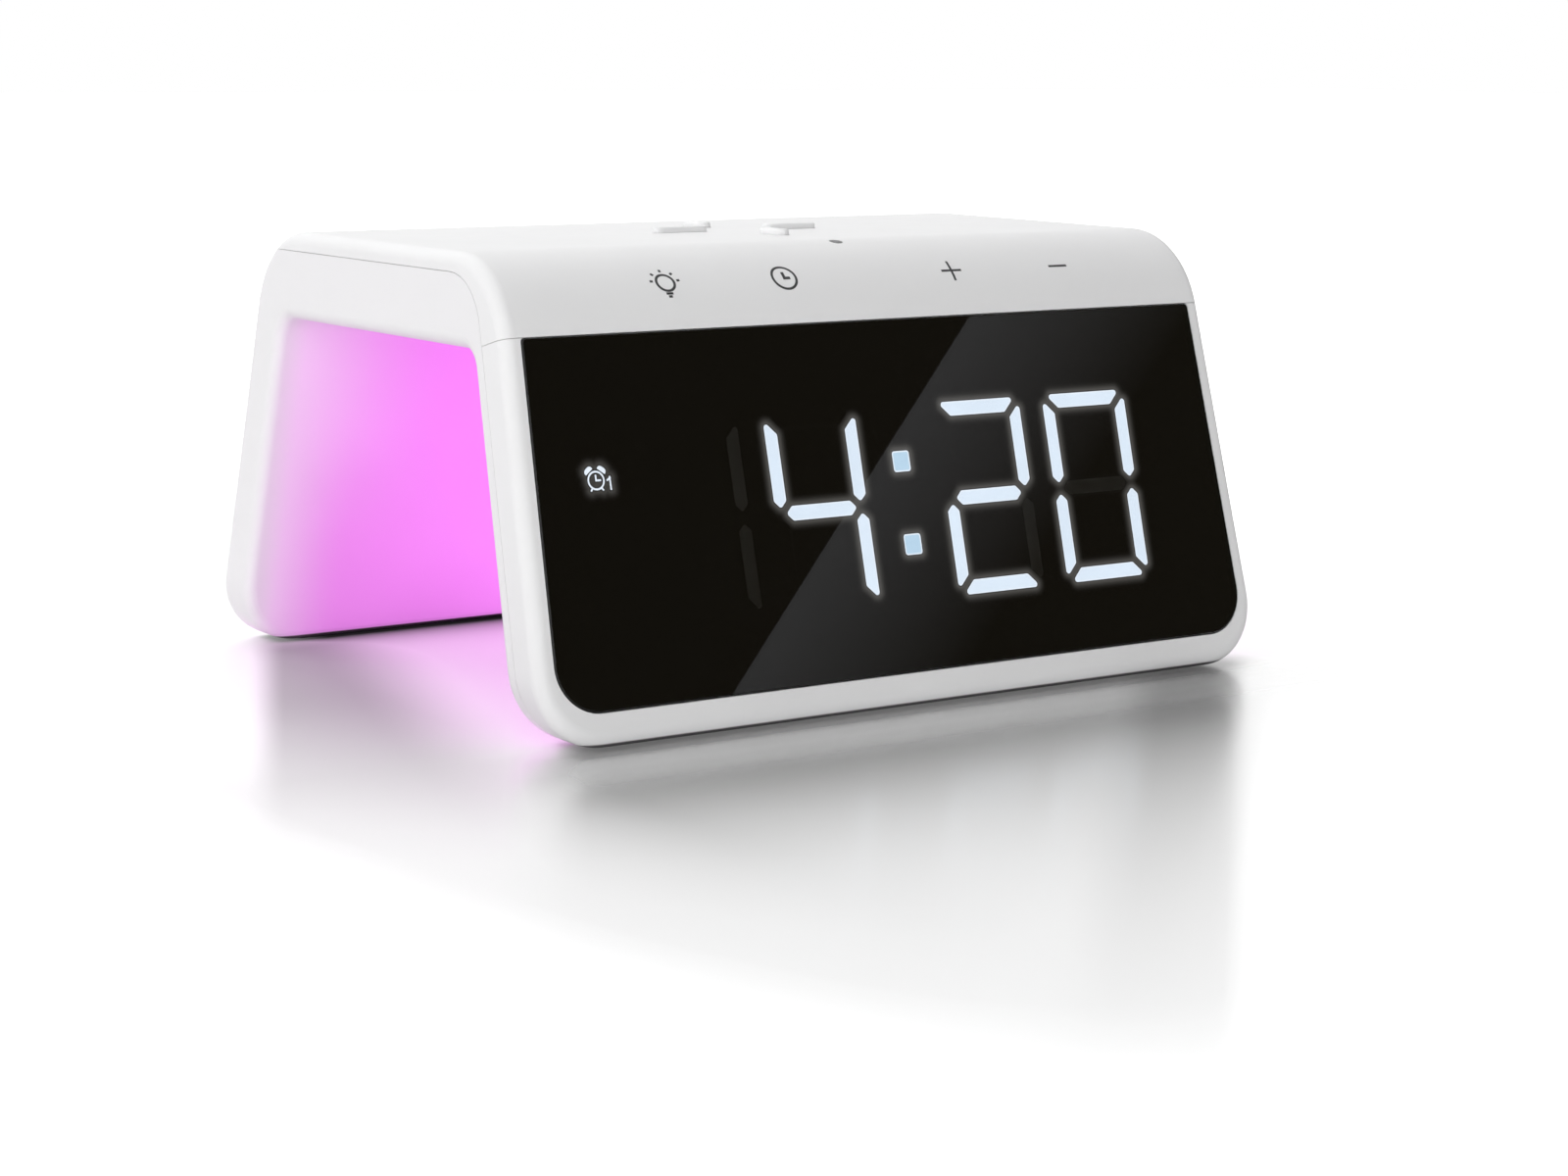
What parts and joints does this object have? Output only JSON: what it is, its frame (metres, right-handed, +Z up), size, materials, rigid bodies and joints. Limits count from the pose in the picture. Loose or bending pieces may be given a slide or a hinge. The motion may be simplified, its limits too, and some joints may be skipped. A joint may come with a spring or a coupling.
{
  "type": "wireless charging alarm clock",
  "caption": "Arch-shaped digital alarm clock: leaning display leg, flat wireless charging top with grip bars, touch marks, and a lit tunnel between two legs.",
  "frame": {"origin": "middle of the clock's footprint, on the surface that it stands on", "axes": "+Z up, -Y out of the display side, +X to the viewer's right along the clock's width"},
  "size_m": [0.1714, 0.138, 0.0893],
  "materials": {
    "shell_white": "satin white moulding",
    "milky_light": "milky diffuser, lit pink from inside",
    "lens_black": "smoked gloss window",
    "rubber_dark": "dark rubber",
    "grip_pale": "pale silicone",
    "indicator_dark": "smoked light pipe",
    "reflector_black": "black moulding",
    "segment_lit": "light pipe, lit cold white",
    "segment_dark": "light pipe, unlit",
    "pane_clear": "clear pane",
    "board_green": "solder-masked circuit board",
    "part_black": "moulded electronic part",
    "led_white": "LED package",
    "connector_cream": "moulded connector",
    "ribbon_white": "flat cable",
    "copper": "enamelled copper",
    "ferrite": "sintered ferrite",
    "steel": "plated steel",
    "can_aluminium": "drawn can",
    "foam_grey": "conductive foam",
    "cone_dark": "pressed membrane",
    "rear_white": "satin white moulding"
  },
  "bodies": {
    "base": {"top_cover": "shell_white", "front_frame": "shell_white", "light_housing": "milky_light", "display_lens": "lens_black", "front_foot": "rubber_dark", "rear_foot": "rubber_dark", "speaker_gasket": "rubber_dark", "grip_bar_left": "grip_pale", "grip_bar_right": "grip_pale", "grip_bar_front": "grip_pale", "grip_bar_rear": "grip_pale", "indicator_pipe": "indicator_dark", "display_reflector": "reflector_black", "lit_segments": "segment_lit", "colon_dots": "segment_lit", "alarm_mark": "segment_lit", "unlit_segments": "segment_dark", "alarm_mark_pane": "pane_clear", "display_board": "board_green", "touch_board": "board_green", "main_board": "board_green", "power_board": "board_green", "control_chip": "part_black", "power_inductors": "part_black", "usb_tongue": "part_black", "coil_tray": "part_black", "segment_leds": "led_white", "indicator_led": "led_white", "mood_leds": "led_white", "display_connector": "connector_cream", "main_connectors": "connector_cream", "display_ribbon": "ribbon_white", "power_ribbon": "ribbon_white", "speaker_ribbon": "ribbon_white", "cell_ribbon": "ribbon_white", "charging_coil": "copper", "coil_leads": "copper", "ferrite_plate": "ferrite", "display_screws": "steel", "touch_screws": "steel", "coil_tray_screws": "steel", "board_screws": "steel", "power_board_screws": "steel", "rear_cover_screws": "steel", "usb_shell": "steel", "speaker_magnet": "steel", "backup_cell": "steel", "cell_contact": "steel", "cell_side_contact": "steel", "speaker_frame": "steel", "main_capacitors": "can_aluminium", "touch_pad_light": "foam_grey", "touch_pad_clock": "foam_grey", "touch_pad_plus": "foam_grey", "touch_pad_minus": "foam_grey", "speaker_cone": "cone_dark", "rear_cover": "rear_white"},
    "cap": {"battery_cap": "rear_white", "battery_cap_seal": "rubber_dark"}
  },
  "joints": [
    {"name": "cap_turn", "type": "hinge", "parent": "base", "child": "cap", "pos_m": [-0.037, 0.06216, 0.03313], "axis": [0, 0.9744, 0.225], "range_deg": [0, 50]}
  ]
}
